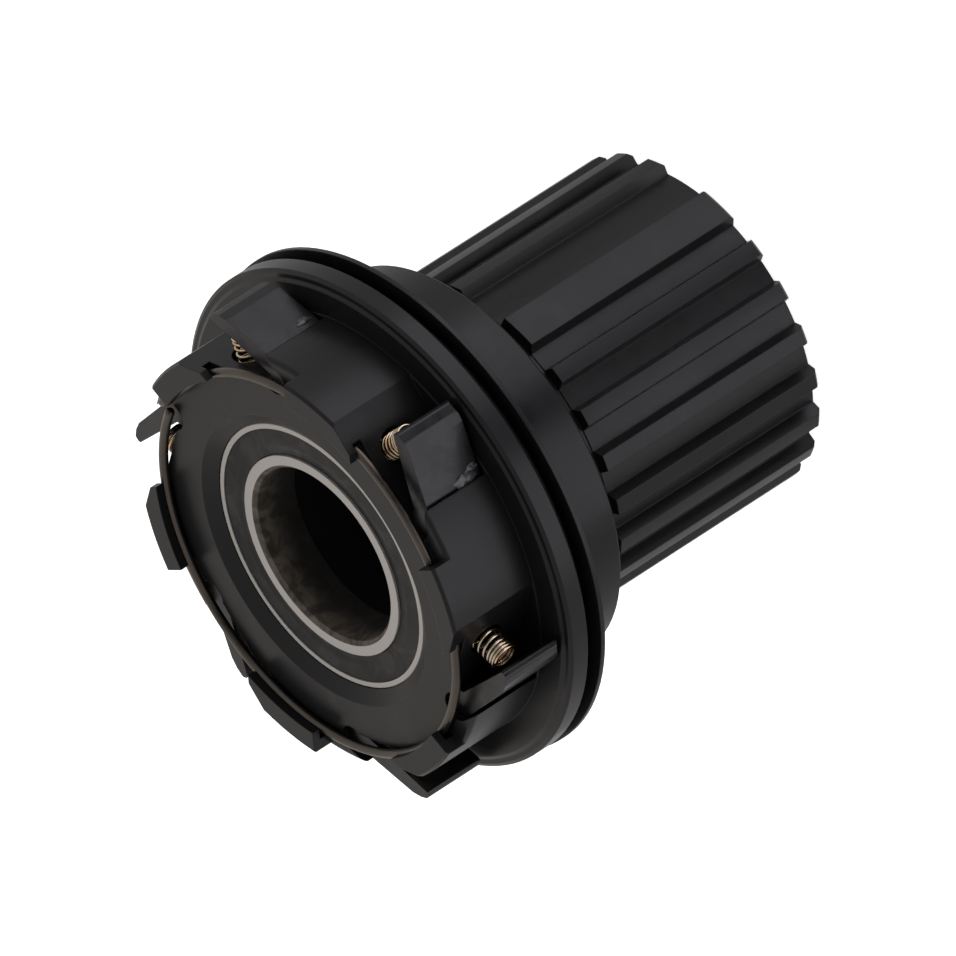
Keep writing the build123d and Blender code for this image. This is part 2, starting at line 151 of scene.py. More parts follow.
def colour(name, description, default):
    """A linear colour."""
    return FloatVectorProperty(
        name=name, description=description, default=default, min=0.0, max=1.0, size=3, subtype="COLOR"
    )


class SpringSizes(PropertyGroup):
    wire: length("Wire", "Thickness of a pawl spring's wire", 0.3)
    diameter: length("Diameter", "Outside diameter of the coil", 2.65)
    reach: length("Length", "Length of the coil when the pawl is out", 6.0)
    turns: number("Turns", "Turns of the coil, with its closed ends", 12.0)
    closed: number("Closed turns", "Turns that lie together at each end", 3.6)
    lean: angle("Lean", "Turn of the coil's line from the pawl's outward line", 28.2)
    pressed: number("Pressed", "Share of its length the coil keeps when the pawl is folded", 0.56, 0.1, 1.0)


class RingSizes(PropertyGroup):
    wire: length("Wire", "Thickness of the ring's wire", 0.86)
    radius: length("Radius", "Radius of the wire's centre line", 18.65)
    end: angle("End", "Where the curved end is, round the axle", 19.0)
    leave: angle("Leave", "Where the other end leaves the circle", 0.4)
    straight: length("Straight", "Length of that end's straight run", 6.6)


class ThreadSizes(PropertyGroup):
    radius: length("Radius", "Radius of the bore that carries the thread", 13.0)
    depth: length("Depth", "Height of the thread's ridge", 0.5)
    pitch: length("Pitch", "Step from one turn to the next", 1.05)
    start: length("Start", "Height of the first turn", 0.55)
    end: length("End", "Height of the last turn", 7.6)


class GreaseSizes(PropertyGroup):
    height: length("Height", "How far a dab of grease stands off the metal", 0.16)
    spread: length("Spread", "Half of a dab's length", 0.95)
    roughness: number("Lumpiness", "How uneven a dab is", 0.35, 0.0, 1.0)


class FinishColours(PropertyGroup):
    anodised: colour("Anodised black", "Body's anodised skin", (0.0100, 0.0096, 0.0104))
    pawl: colour("Pawl steel", "Hardened and blacked pawls", (0.0080, 0.0080, 0.0090))
    ring_wire: colour("Ring wire", "Bronze-brown wire of the pawl ring", (0.084, 0.072, 0.062))
    spring_warm: colour("Spring, warm", "Gold tint of the pawl springs", (0.62, 0.41, 0.22))
    spring_pale: colour("Spring, pale", "Pale tint of the pawl springs", (0.62, 0.56, 0.46))
    bearing: colour("Bearing steel", "Ground bearing rings", (0.48, 0.458, 0.432))
    rubber: colour("Rubber", "Bearing seals and flange ring", (0.011, 0.011, 0.0115))
    stain: colour("Stain", "Old oil baked on in the bearing's bore", (0.150, 0.125, 0.100))
    nylon: colour("Nylon", "Ball cages", (0.42, 0.36, 0.25))
    grease: colour("Grease", "Old, darkened assembly grease", (0.10, 0.10, 0.105))


class StageSettings(PropertyGroup):
    distance: FloatProperty(
        name="Camera distance", description="From the part to the camera", default=2.6392, unit="LENGTH"
    )
    elevation: angle("Elevation", "Camera's height above the floor, as an angle", 29.464)
    roll: angle("Roll", "Camera's turn about its own line", -122.68)
    lens: number("Lens", "Focal length in millimetres", 1148.292, 1.0, 5000.0)
    target: FloatVectorProperty(
        name="Aim", description="Point the camera looks at", default=(-0.00164, 0.0, 0.02685), subtype="XYZ"
    )
    ambient: number("Surround", "Brightness of the pale surround", 0.62)
    backdrop: number("Back light", "Extra brightness of the surround behind the part", 0.2)
    lamp: number("Lamps", "Radiance of the two soft boxes", 1.5)
    lamp_size: FloatProperty(name="Lamp size", description="Side of a soft box", default=0.95, unit="LENGTH")
    lamp_distance: FloatProperty(
        name="Lamp distance", description="From the part to a soft box", default=1.1, unit="LENGTH"
    )


GROUPS = {
    "springs": SpringSizes,
    "ring": RingSizes,
    "thread": ThreadSizes,
    "grease": GreaseSizes,
    "colours": FinishColours,
    "stage": StageSettings,
}


class FreehubSettings(PropertyGroup):
    springs: PointerProperty(type=SpringSizes)
    ring: PointerProperty(type=RingSizes)
    thread: PointerProperty(type=ThreadSizes)
    grease: PointerProperty(type=GreaseSizes)
    colours: PointerProperty(type=FinishColours)
    stage: PointerProperty(type=StageSettings)


def settings():
    return bpy.context.scene.freehub


# ------------------------------------------------------------------ surfaces


def surface(name, points):
    """A mesh object from a grid of points: closed rings along the first axis, and the places
    round each ring along the second. Neighbouring grid places make one quad each, and one
    face caps each end ring."""
    rings, places = points.shape[:2]
    index = np.arange(rings * places).reshape(rings, places)
    here = index[:-1]
    ahead = index[1:]
    here_next = np.roll(here, -1, axis=1)
    ahead_next = np.roll(ahead, -1, axis=1)
    faces = np.stack([here, here_next, ahead_next, ahead], axis=-1).reshape(-1, 4).tolist()
    faces.append(index[0, ::-1].tolist())
    faces.append(index[-1].tolist())
    mesh = bpy.data.meshes.new(name)
    mesh.from_pydata(points.reshape(-1, 3).tolist(), [], faces)
    mesh.polygons.foreach_set("use_smooth", np.ones(len(mesh.polygons), bool))
    mesh.update()
    piece = bpy.data.objects.new(name, mesh)
    bpy.context.scene.collection.objects.link(piece)
    return piece


def unit(vectors):
    """Each vector divided by its own length."""
    return vectors / np.linalg.norm(vectors, axis=-1, keepdims=True)


def wire_points(path, up, radius, sides):
    """Points of a round wire: at each path point a circle of the wire's radius, square to
    the path's own direction. Near each end the circle shrinks along a quarter ellipse, so
    the cut end has a rounded edge."""
    ahead = unit(np.gradient(path, axis=0))
    side = unit(np.cross(ahead, up))
    over = np.cross(side, ahead)
    steps = np.linalg.norm(np.diff(path, axis=0), axis=1)
    along = np.concatenate([[0.0], np.cumsum(steps)])
    to_end = np.minimum(along, along[-1] - along)
    share = np.clip(to_end / (END_ROUND * radius), 0.0, 1.0)
    size = radius * (1 - END_ROUND * (1 - np.sqrt(1 - (1 - share) ** 2)))
    turn = np.linspace(0, TAU, sides, endpoint=False)
    ring = side[:, None] * np.cos(turn)[None, :, None] - over[:, None] * np.sin(turn)[None, :, None]
    return path[:, None] + size[:, None, None] * ring


def pawl_place(number):
    """The turn about the axle's line of pawl 1 to 6."""
    return FIRST_PAWL_ANGLE - (number - 1) * TAU / PAWLS


# ------------------------------------------------------------------ shader parts


def shader_node(tree, kind, **values):
    """A shader node with its own settings, and its input sockets set by name or index."""
    node = tree.nodes.new(kind)
    for key, value in values.items():
        if hasattr(node, key):
            setattr(node, key, value)
        else:
            node.inputs[key.replace("_", " ")].default_value = value
    return node


def maths(tree, operation, first, second=None):
    """A maths node; each operand is a number or an output socket."""
    node = tree.nodes.new("ShaderNodeMath")
    node.operation = operation
    for socket, value in zip(node.inputs, (first, second)):
        if isinstance(value, bpy.types.NodeSocket):
            tree.links.new(value, socket)
        elif value is not None:
            socket.default_value = value
    return node.outputs[0]


def smooth_step(tree, value, low, high, start=0.0, end=1.0):
    """A value taken smoothly from start to end as the input goes from low to high."""
    node = tree.nodes.new("ShaderNodeMapRange")
    node.interpolation_type = "SMOOTHSTEP"
    tree.links.new(value, node.inputs["Value"])
    for key, limit in (("From Min", low), ("From Max", high), ("To Min", start), ("To Max", end)):
        socket = node.inputs[key]
        if isinstance(limit, bpy.types.NodeSocket):
            tree.links.new(limit, socket)
        else:
            socket.default_value = limit
    return node.outputs["Result"]


def blend(tree, share, first, second):
    """A colour mixed from two, by a share from 0 to 1."""
    node = tree.nodes.new("ShaderNodeMix")
    node.data_type = "RGBA"
    tree.links.new(share, node.inputs[0])
    for socket, value in ((node.inputs[6], first), (node.inputs[7], second)):
        if isinstance(value, bpy.types.NodeSocket):
            tree.links.new(value, socket)
        else:
            socket.default_value = (*value, 1.0)
    return node.outputs[2]


def noise(tree, place, scale, detail=3.0, roughness=0.5, distortion=0.0):
    """A noise value read at a place."""
    node = tree.nodes.new("ShaderNodeTexNoise")
    tree.links.new(place, node.inputs["Vector"])
    if isinstance(scale, bpy.types.NodeSocket):
        tree.links.new(scale, node.inputs["Scale"])
    else:
        node.inputs["Scale"].default_value = scale
    node.inputs["Detail"].default_value = detail
    node.inputs["Roughness"].default_value = roughness
    node.inputs["Distortion"].default_value = distortion
    return node.outputs["Fac"]


def new_group(name, inputs, outputs):
    """An empty shader node group with number inputs and the named outputs."""
    tree = bpy.data.node_groups.new(name, "ShaderNodeTree")
    for label, default in inputs:
        socket = tree.interface.new_socket(label, in_out="INPUT", socket_type="NodeSocketFloat")
        socket.default_value = default
    for label, kind in outputs:
        tree.interface.new_socket(label, in_out="OUTPUT", socket_type=kind)
    return tree, tree.nodes.new("NodeGroupInput"), tree.nodes.new("NodeGroupOutput")


def place_on_part(tree):
    """The point being shaded, in the part's own coordinates."""
    return tree.nodes.new("ShaderNodeTexCoord").outputs["Object"]


def edge_wear_group():
    """Rounds sharp edges by a small radius and marks them: the mask is high where the
    rounded normal leaves the flat one, broken up by noise."""
    tree, inside, out = new_group(
        "edge_wear",
        [("Radius", 0.0002), ("Breakup", 900.0)],
        [("Mask", "NodeSocketFloat"), ("Normal", "NodeSocketVector")],
    )
    bevel = shader_node(tree, "ShaderNodeBevel", samples=4)
    tree.links.new(inside.outputs["Radius"], bevel.inputs["Radius"])
    flat = tree.nodes.new("ShaderNodeNewGeometry")
    dot = shader_node(tree, "ShaderNodeVectorMath", operation="DOT_PRODUCT")
    tree.links.new(bevel.outputs["Normal"], dot.inputs[0])
    tree.links.new(flat.outputs["True Normal"], dot.inputs[1])
    edge = smooth_step(tree, dot.outputs["Value"], EDGE_FLAT, EDGE_SHARP)
    patchy = noise(tree, place_on_part(tree), inside.outputs["Breakup"], 4.0, 0.6)
    worn = maths(tree, "MULTIPLY", edge, smooth_step(tree, patchy, 0.35, 0.68))
    tree.links.new(worn, out.inputs["Mask"])
    tree.links.new(bevel.outputs["Normal"], out.inputs["Normal"])
    return tree


def satin_group():
    """Fine blasted grain and broad cloudiness: a height for bumps and a tone round 0.5."""
    tree, inside, out = new_group(
        "satin_grain",
        [("Grain", 9000.0), ("Cloud", 90.0)],
        [("Height", "NodeSocketFloat"), ("Tone", "NodeSocketFloat")],
    )
    place = place_on_part(tree)
    grain = noise(tree, place, inside.outputs["Grain"], 2.0, 0.55)
    cloud = noise(tree, place, inside.outputs["Cloud"], 4.0, 0.6, 0.4)
    tree.links.new(grain, out.inputs["Height"])
    tree.links.new(cloud, out.inputs["Tone"])
    return tree


def turned_group():
    """Marks of the lathe: rings that repeat with the distance from the axle's line and
    with height, jittered by noise, as a height for bumps."""
    tree, inside, out = new_group(
        "turned_marks", [("Spacing", 0.00012)], [("Height", "NodeSocketFloat")]
    )
    place = place_on_part(tree)
    split = tree.nodes.new("ShaderNodeSeparateXYZ")
    tree.links.new(place, split.inputs[0])
    squares = [maths(tree, "MULTIPLY", split.outputs[k], split.outputs[k]) for k in (0, 1)]
    radius = maths(tree, "SQRT", maths(tree, "ADD", squares[0], squares[1]))
    reach = maths(tree, "ADD", radius, split.outputs[2])
    steps = maths(tree, "DIVIDE", reach, inside.outputs["Spacing"])
    line = tree.nodes.new("ShaderNodeCombineXYZ")
    tree.links.new(steps, line.inputs[0])
    marks = noise(tree, line.outputs[0], 1.0, 2.0, 0.7)
    tree.links.new(marks, out.inputs["Height"])
    return tree


def oil_group():
    """Where thin oil lies: broad drifting patches, denser low in the noise, as a mask."""
    tree, inside, out = new_group(
        "oil_film", [("Scale", 240.0), ("Cover", 0.5)], [("Mask", "NodeSocketFloat")]
    )
    place = place_on_part(tree)
    drift = noise(tree, place, inside.outputs["Scale"], 5.0, 0.62, 1.2)
    low = maths(tree, "SUBTRACT", inside.outputs["Cover"], OIL_SOFTNESS)
    high = maths(tree, "ADD", inside.outputs["Cover"], OIL_SOFTNESS)
    tree.links.new(smooth_step(tree, drift, low, high, 1.0, 0.0), out.inputs["Mask"])
    return tree


def crevice_shade_group():
    """How open the surface is to its surroundings: 1 on open faces, 0 deep in a corner. The finishes paint
    shade with it, darkening colour and gloss in corners and recesses.
    """
    tree, inside, out = new_group("crevice_shade", [("Reach", 0.002)], [("Open", "NodeSocketFloat")])
    closeness = shader_node(tree, "ShaderNodeAmbientOcclusion", samples=6)
    tree.links.new(inside.outputs["Reach"], closeness.inputs["Distance"])
    tree.links.new(smooth_step(tree, closeness.outputs["AO"], 0.0, CREVICE_SHADE_OPEN), out.inputs["Open"])
    return tree


def bore_group():
    """High where the surface faces the axle's line, as a bore's wall does."""
    tree, inside, out = new_group("bore_wall", [("Sharpness", 0.9)], [("Mask", "NodeSocketFloat")])
    split = tree.nodes.new("ShaderNodeSeparateXYZ")
    tree.links.new(place_on_part(tree), split.inputs[0])
    outward = tree.nodes.new("ShaderNodeCombineXYZ")
    tree.links.new(split.outputs[0], outward.inputs[0])
    tree.links.new(split.outputs[1], outward.inputs[1])
    level = shader_node(tree, "ShaderNodeVectorMath", operation="NORMALIZE")
    tree.links.new(outward.outputs[0], level.inputs[0])
    dot = shader_node(tree, "ShaderNodeVectorMath", operation="DOT_PRODUCT")
    tree.links.new(level.outputs[0], dot.inputs[0])
    own = tree.nodes.new("ShaderNodeVectorTransform")
    own.vector_type = "NORMAL"
    own.convert_from = "WORLD"
    own.convert_to = "OBJECT"
    tree.links.new(tree.nodes.new("ShaderNodeNewGeometry").outputs["True Normal"], own.inputs[0])
    tree.links.new(own.outputs[0], dot.inputs[1])
    inward = maths(tree, "MULTIPLY", dot.outputs["Value"], -1.0)
    low = maths(tree, "SUBTRACT", inside.outputs["Sharpness"], BORE_SOFTNESS)
    tree.links.new(smooth_step(tree, inward, low, inside.outputs["Sharpness"]), out.inputs["Mask"])
    return tree


def build_groups():
    """The shader groups, each built once."""
    return {
        "edge_wear": edge_wear_group(),
        "satin_grain": satin_group(),
        "turned_marks": turned_group(),
        "oil_film": oil_group(),
        "crevice_shade": crevice_shade_group(),
        "bore_wall": bore_group(),
    }


def place_group(tree, name, **values):
    """One of the shared groups in a material, with its own values."""
    node = tree.nodes.new("ShaderNodeGroup")
    node.node_tree = bpy.data.node_groups[name]
    for key, value in values.items():
        node.inputs[key].default_value = value
    return node


def new_material(name):
    """A material with only a Principled shader and its output."""
    material = bpy.data.materials.new(name)
    material.use_nodes = True
    tree = material.node_tree
    tree.nodes.clear()
    shader = tree.nodes.new("ShaderNodeBsdfPrincipled")
    out = tree.nodes.new("ShaderNodeOutputMaterial")
    tree.links.new(shader.outputs[0], out.inputs["Surface"])
    return material, tree, shader


def bump(tree, height, distance, strength=1.0, normal=None):
    """A normal from a height, over the normal given."""
    node = shader_node(tree, "ShaderNodeBump", Distance=distance, Strength=strength)
    tree.links.new(height, node.inputs["Height"])
    if normal is not None:
        tree.links.new(normal, node.inputs["Normal"])
    return node.outputs["Normal"]


def cloudy(tree, satin, low, high):
    """A value that drifts from low to high with the cloudiness of the grain."""
    return smooth_step(tree, satin.outputs["Tone"], TONE_LOW, TONE_HIGH, low, high)


# ------------------------------------------------------------------ finishes


def anodised_finish(name, tint, shine=0.33, shine_level=0.22, wear_tint=(0.05, 0.05, 0.052)):
    """Satin black anodised aluminium: blasted grain, faint lathe marks, softly worn edges and thin patches
    of oil, with painted shade that darkens colour and gloss in corners and recesses."""
    material, tree, shader = new_material(name)
    edge = place_group(tree, "edge_wear", Radius=0.00014, Breakup=700.0)
    satin = place_group(tree, "satin_grain", Grain=11000.0, Cloud=85.0)
    turned = place_group(tree, "turned_marks", Spacing=0.00011)
    oil = place_group(tree, "oil_film", Scale=150.0, Cover=0.42)
    deep = tuple(channel * 0.75 for channel in tint)
    skin = blend(tree, satin.outputs["Tone"], deep, tint)
    share = maths(tree, "MULTIPLY", edge.outputs["Mask"], 0.35)
    worn = blend(tree, share, skin, wear_tint)
    # Painted shade: the colour goes to near black in corners and recesses.
    unshaded = place_group(tree, "crevice_shade", Reach=0.0018).outputs["Open"]
    tree.links.new(blend(tree, unshaded, (0.0015, 0.0014, 0.0015), worn), shader.inputs["Base Color"])
    rough = cloudy(tree, satin, shine - 0.03, shine + 0.04)
    rough = maths(tree, "SUBTRACT", rough, maths(tree, "MULTIPLY", oil.outputs["Mask"], 0.06))
    tree.links.new(rough, shader.inputs["Roughness"])
    grain = bump(tree, satin.outputs["Height"], 0.0000035, 0.5, edge.outputs["Normal"])
    tree.links.new(bump(tree, turned.outputs["Height"], 0.000003, 0.35, grain), shader.inputs["Normal"])
    # Painted shade: the gloss drops in corners and recesses as well.
    unshaded_gloss_share = maths(tree, "ADD", maths(tree, "MULTIPLY", unshaded, 0.65), 0.35)
    gloss = maths(tree, "MULTIPLY", unshaded_gloss_share, shine_level)
    tree.links.new(gloss, shader.inputs["Specular IOR Level"])
    return material


def steel_finish(name, tint, shine, metal=1.0, marks=0.6, oily=0.0):
    """Ground or hardened steel: fine turning marks, cloudy roughness, bright edges."""
    material, tree, shader = new_material(name)
    edge = place_group(tree, "edge_wear", Radius=0.00008, Breakup=1200.0)
    satin = place_group(tree, "satin_grain", Grain=14000.0, Cloud=260.0)
    turned = place_group(tree, "turned_marks", Spacing=0.00005)
    oil = place_group(tree, "oil_film", Scale=420.0, Cover=0.5)
    deep = tuple(channel * 0.86 for channel in tint)
    bright = tuple(min(1.0, channel * 1.5 + 0.02) for channel in tint)
    skin = blend(tree, satin.outputs["Tone"], deep, tint)
    tree.links.new(blend(tree, edge.outputs["Mask"], skin, bright), shader.inputs["Base Color"])
    rough = cloudy(tree, satin, shine, shine * 1.35)
    rough = maths(tree, "SUBTRACT", rough, maths(tree, "MULTIPLY", oil.outputs["Mask"], oily))
    tree.links.new(rough, shader.inputs["Roughness"])
    shader.inputs["Metallic"].default_value = metal
    normal = bump(tree, turned.outputs["Height"], 0.0000012, marks, edge.outputs["Normal"])
    tree.links.new(bump(tree, satin.outputs["Height"], 0.000001, 0.4, normal), shader.inputs["Normal"])
    return material


def stain_and_shade_bore(material, stain):
    """Covers the bore's wall and its chamfers with mottled, dull brown oil stain, and paints shade that
    takes it towards near black away from the bearing's faces, deeper in the bore."""
    tree = material.node_tree
    shader = next(node for node in tree.nodes if node.type == "BSDF_PRINCIPLED")
    bore = place_group(tree, "bore_wall", Sharpness=STAIN_FACING).outputs["Mask"]
    mottle = noise(tree, place_on_part(tree), 620.0, 5.0, 0.62, 0.8)
    split = tree.nodes.new("ShaderNodeSeparateXYZ")
    tree.links.new(place_on_part(tree), split.inputs[0])
    height = split.outputs[2]
    unshaded_near_face = smooth_step(tree, height, BORE_SHADE_DARK_HEIGHT, BORE_SHADE_CLEAR_HEIGHT, BORE_SHADE_KEEPS, 1.0)
    dark = tuple(channel * 0.3 for channel in stain)
    stain_and_shade = blend(tree, smooth_step(tree, mottle, 0.36, 0.66), dark, stain)
    # Painted shade: deeper in the bore the stain goes to near black.
    stain_and_shade = blend(tree, unshaded_near_face, (0.004, 0.004, 0.004), stain_and_shade)
    steel = shader.inputs["Base Color"].links[0].from_socket
    tree.links.new(blend(tree, bore, steel, stain_and_shade), shader.inputs["Base Color"])
    smooth = shader.inputs["Roughness"].links[0].from_socket
    dull = maths(tree, "ADD", smooth, maths(tree, "MULTIPLY", bore, STAIN_DULLS))
    tree.links.new(dull, shader.inputs["Roughness"])
    metal = shader.inputs["Metallic"].default_value
    bare = maths(tree, "SUBTRACT", 1.0, maths(tree, "MULTIPLY", bore, STAIN_HIDES_METAL))
    tree.links.new(maths(tree, "MULTIPLY", bare, metal), shader.inputs["Metallic"])


def wire_finish(name, warm, pale, shine):
    """Drawn spring wire: a tint that drifts between two tones, with a fine grain bump."""
    material, tree, shader = new_material(name)
    satin = place_group(tree, "satin_grain", Grain=16000.0, Cloud=330.0)
    oil = place_group(tree, "oil_film", Scale=600.0, Cover=0.48)
    drift = smooth_step(tree, satin.outputs["Tone"], 0.36, 0.64)
    tree.links.new(blend(tree, drift, warm, pale), shader.inputs["Base Color"])
    rough = cloudy(tree, satin, shine, shine * 1.4)
    rough = maths(tree, "SUBTRACT", rough, maths(tree, "MULTIPLY", oil.outputs["Mask"], 0.06))
    tree.links.new(rough, shader.inputs["Roughness"])
    shader.inputs["Metallic"].default_value = 1.0
    tree.links.new(bump(tree, satin.outputs["Height"], 0.000003, 0.6), shader.inputs["Normal"])
    return material


def rubber_finish(name, tint, shine=0.5):
    """Moulded black rubber: fine matt grain, faint moulding rings and a trace of oil, with painted shade
    that darkens colour and gloss in corners and recesses.
    """
    material, tree, shader = new_material(name)
    edge = place_group(tree, "edge_wear", Radius=0.00012, Breakup=800.0)
    satin = place_group(tree, "satin_grain", Grain=7000.0, Cloud=200.0)
    turned = place_group(tree, "turned_marks", Spacing=0.00022)
    oil = place_group(tree, "oil_film", Scale=300.0, Cover=0.46)
    deep = tuple(channel * 0.7 for channel in tint)
    skin = blend(tree, satin.outputs["Tone"], deep, tint)
    # Painted shade: colour and gloss go dark in corners and recesses.
    unshaded = place_group(tree, "crevice_shade", Reach=0.0005).outputs["Open"]
    tree.links.new(blend(tree, unshaded, (0.001, 0.001, 0.001), skin), shader.inputs["Base Color"])
    rough = cloudy(tree, satin, shine - 0.05, shine + 0.07)
    rough = maths(tree, "SUBTRACT", rough, maths(tree, "MULTIPLY", oil.outputs["Mask"], 0.12))
    tree.links.new(rough, shader.inputs["Roughness"])
    normal = bump(tree, turned.outputs["Height"], 0.000006, 0.5, edge.outputs["Normal"])
    tree.links.new(bump(tree, satin.outputs["Height"], 0.000006, 0.6, normal), shader.inputs["Normal"])
    tree.links.new(maths(tree, "MULTIPLY", unshaded, 0.24), shader.inputs["Specular IOR Level"])
    return material


def nylon_finish(name, tint):
    """Moulded nylon of the ball cages: slightly waxy, with faint flow marks."""
    material, tree, shader = new_material(name)
    satin = place_group(tree, "satin_grain", Grain=5000.0, Cloud=420.0)
    deep = tuple(channel * 0.8 for channel in tint)
    tree.links.new(blend(tree, satin.outputs["Tone"], deep, tint), shader.inputs["Base Color"])
    tree.links.new(cloudy(tree, satin, 0.38, 0.5), shader.inputs["Roughness"])
    tree.links.new(bump(tree, satin.outputs["Height"], 0.000008, 0.5), shader.inputs["Normal"])
    shader.inputs["Subsurface Weight"].default_value = 0.15
    shader.inputs["Subsurface Scale"].default_value = 0.0006
    return material


def grease_finish(name, tint):
    """Old grease: dark, wet and slightly cloudy, with soft lumps."""
    material, tree, shader = new_material(name)
    satin = place_group(tree, "satin_grain", Grain=3500.0, Cloud=1800.0)
    deep = tuple(channel * 0.35 for channel in tint)
    share = smooth_step(tree, satin.outputs["Tone"], 0.38, 0.66)
    tree.links.new(blend(tree, share, deep, tint), shader.inputs["Base Color"])
    tree.links.new(cloudy(tree, satin, 0.16, 0.34), shader.inputs["Roughness"])
    tree.links.new(bump(tree, satin.outputs["Height"], 0.00004, 0.8), shader.inputs["Normal"])
    shader.inputs["IOR"].default_value = 1.46
    return material


FINISH_OF_NODE = (
    ("freehub_shell", "anodised_black"),
    ("axle_spacer", "spacer_black_skin"),
    ("outboard_circlip", "circlip_steel"),
    ("flange_seal", "moulded_rubber"),
    ("pawl_ring", "ring_wire_bronze"),
    ("pawl_spring", "spring_wire_gold"),
    ("pawl_", "blacked_pawl_steel"),
)
FINISH_OF_PART = (
    ("_seal", "moulded_rubber"),
    ("_balls", "ball_steel_polished"),
    ("_cage", "cage_nylon_moulded"),
    ("_inner_ring", "bearing_steel_stained_and_shaded"),
    ("_ring", "bearing_steel_ground"),
)


def finish_name(node):
    """The finish that a node of the frame gets, by how its name starts or ends."""
    for start, finish in FINISH_OF_NODE:
        if node.startswith(start):
            return finish
    for end, finish in FINISH_OF_PART:
        if node.endswith(end):
            return finish
    raise RuntimeError(f"no finish for {node}")


class FREEHUB_OT_finishes(Operator):
    """Builds every finish and puts it on the frame's own nodes"""

    bl_idname = "freehub.finishes"
    bl_label = "Finishes"

    def execute(self, context):
        tint = settings().colours
        build_groups()
        anodised_finish("anodised_black", tuple(tint.anodised))
        anodised_finish("spacer_black_skin", tuple(tint.anodised), 0.5, 0.08)
        steel_finish("circlip_steel", (0.16, 0.16, 0.165), 0.3, 1.0, 0.4)
        steel_finish("blacked_pawl_steel", tuple(tint.pawl), 0.30, 0.35, 0.5, 0.06)
        steel_finish("bearing_steel_ground", tuple(tint.bearing), 0.42, 0.35, 0.7)
        stained_and_shaded = steel_finish("bearing_steel_stained_and_shaded", tuple(tint.bearing), 0.42, 0.35, 0.7)
        stain_and_shade_bore(stained_and_shaded, tuple(tint.stain))
        steel_finish("ball_steel_polished", tuple(tint.bearing), 0.05, 1.0, 0.1)
        wire_finish("ring_wire_bronze", tuple(tint.ring_wire), tuple(c * 1.15 for c in tint.ring_wire), 0.3)
        wire_finish("spring_wire_gold", tuple(tint.spring_warm), tuple(tint.spring_pale), 0.2)
        rubber_finish("moulded_rubber", tuple(tint.rubber))
        nylon_finish("cage_nylon_moulded", tuple(tint.nylon))
        grease_finish("assembly_grease", tuple(tint.grease))
        for name, node in CAD_NODES.items():
            finish = bpy.data.materials[finish_name(name)]
            for place in node.material_slots:
                place.material = finish
        return {"FINISHED"}


def give(piece, finish):
    """Puts a finish on a new piece."""
    piece.data.materials.append(bpy.data.materials[finish])


# ------------------------------------------------------------------ springs


def coil_path(turns, closed, wire, radius, reach):
    """A coil's centre line about +Z. The angle runs evenly; the height is the running sum
    of a pitch that is the wire's own thickness over the closed end turns and widens
    smoothly to the free pitch between them, scaled so that the coil has its length."""
    count = int(turns * COIL_STEPS_PER_TURN) + 1
    turn = np.linspace(0.0, turns, count)
    near_end = np.minimum(turn, turns - turn)
    share = np.clip((near_end - COIL_OPENS_AT * closed) / (COIL_OPENS_OVER * closed), 0.0, 1.0)
    unshaded_gloss_share = share * share * (3 - 2 * share)
    run = reach - wire
    tight = wire * COIL_TIGHT_PITCH
    step = turn[1] - turn[0]
    free = (run - tight * np.sum((1 - unshaded_gloss_share)[1:]) * step) / (np.sum(unshaded_gloss_share[1:]) * step)
    pitch = tight + (free - tight) * unshaded_gloss_share
    height = np.concatenate([[0.0], np.cumsum(pitch[1:] * step)]) + wire / 2
    round_axis = TAU * turn
    return np.stack([radius * np.cos(round_axis), radius * np.sin(round_axis), height], axis=1)


class FREEHUB_OT_pawl_springs(Operator):
    """Winds the six pawl springs, with closed ends, in their holes"""

    bl_idname = "freehub.pawl_springs"
    bl_label = "Pawl springs"

    def execute(self, context):
        s = settings().springs
        path = coil_path(s.turns, s.closed, s.wire, (s.diameter - s.wire) / 2, s.reach)
        for pawl in range(1, PAWLS + 1):
            node = f"pawl_spring_{pawl}"
            low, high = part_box(node)
            facing = pawl_place(pawl) + s.lean
            along = np.array([math.cos(facing), math.sin(facing), 0.0])
            across = np.array(UP)
            side = np.cross(along, across)
            seat = np.array((low + high) / 2) - along * s.reach / 2
            placed = seat + path[:, :1] * across + path[:, 1:2] * side + path[:, 2:] * along
            up = np.broadcast_to(along, placed.shape)
            points = wire_points(placed, up, s.wire / 2, COIL_SIDES)
            coil = surface(f"pawl_spring_coil_{pawl}", points)
            give(coil, "spring_wire_gold")
            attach(coil, "body")
            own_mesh(coil)
            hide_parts(node)
        return {"FINISHED"}


# ------------------------------------------------------------------ wire ring


def ring_path(r, height):
    """The ring's centre line: almost a full circle, then a straight run along the tangent
    where the other end leaves it."""
    turn = np.linspace(r.end, TAU + r.leave, RING_CIRCLE_STEPS)
    circle = r.radius * np.stack([np.cos(turn), np.sin(turn)], axis=1)
    run = np.linspace(0.0, r.straight, RING_STRAIGHT_STEPS)[1:, None]
    straight = circle[-1] + run * np.array([-math.sin(r.leave), math.cos(r.leave)])
    path = np.concatenate([circle, straight])
    return np.column_stack([path, np.full(len(path), height)])


class FREEHUB_OT_ring_wire(Operator):
    """Bends the split wire ring that holds the pawls, one end left straight"""

    bl_idname = "freehub.ring_wire"
    bl_label = "Pawl ring wire"

    def execute(self, context):
        r = settings().ring
        low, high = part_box("pawl_ring")
        path = ring_path(r, (low.z + high.z) / 2)
        up = np.broadcast_to(np.array(UP), path.shape)
        wire = surface("pawl_ring_wire", wire_points(path, up, r.wire / 2, RING_SIDES))
        give(wire, "ring_wire_bronze")
        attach(wire, "body")
        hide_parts("pawl_ring")
        return {"FINISHED"}


# ------------------------------------------------------------------ thread


THREAD_ACROSS = np.array([-0.5, -0.12, -0.05, 0.05, 0.12, 0.5, 0.42, -0.42])
THREAD_RISE = np.array([0.0, 0.9, 1.0, 1.0, 0.9, 0.0, -0.12, -0.12])


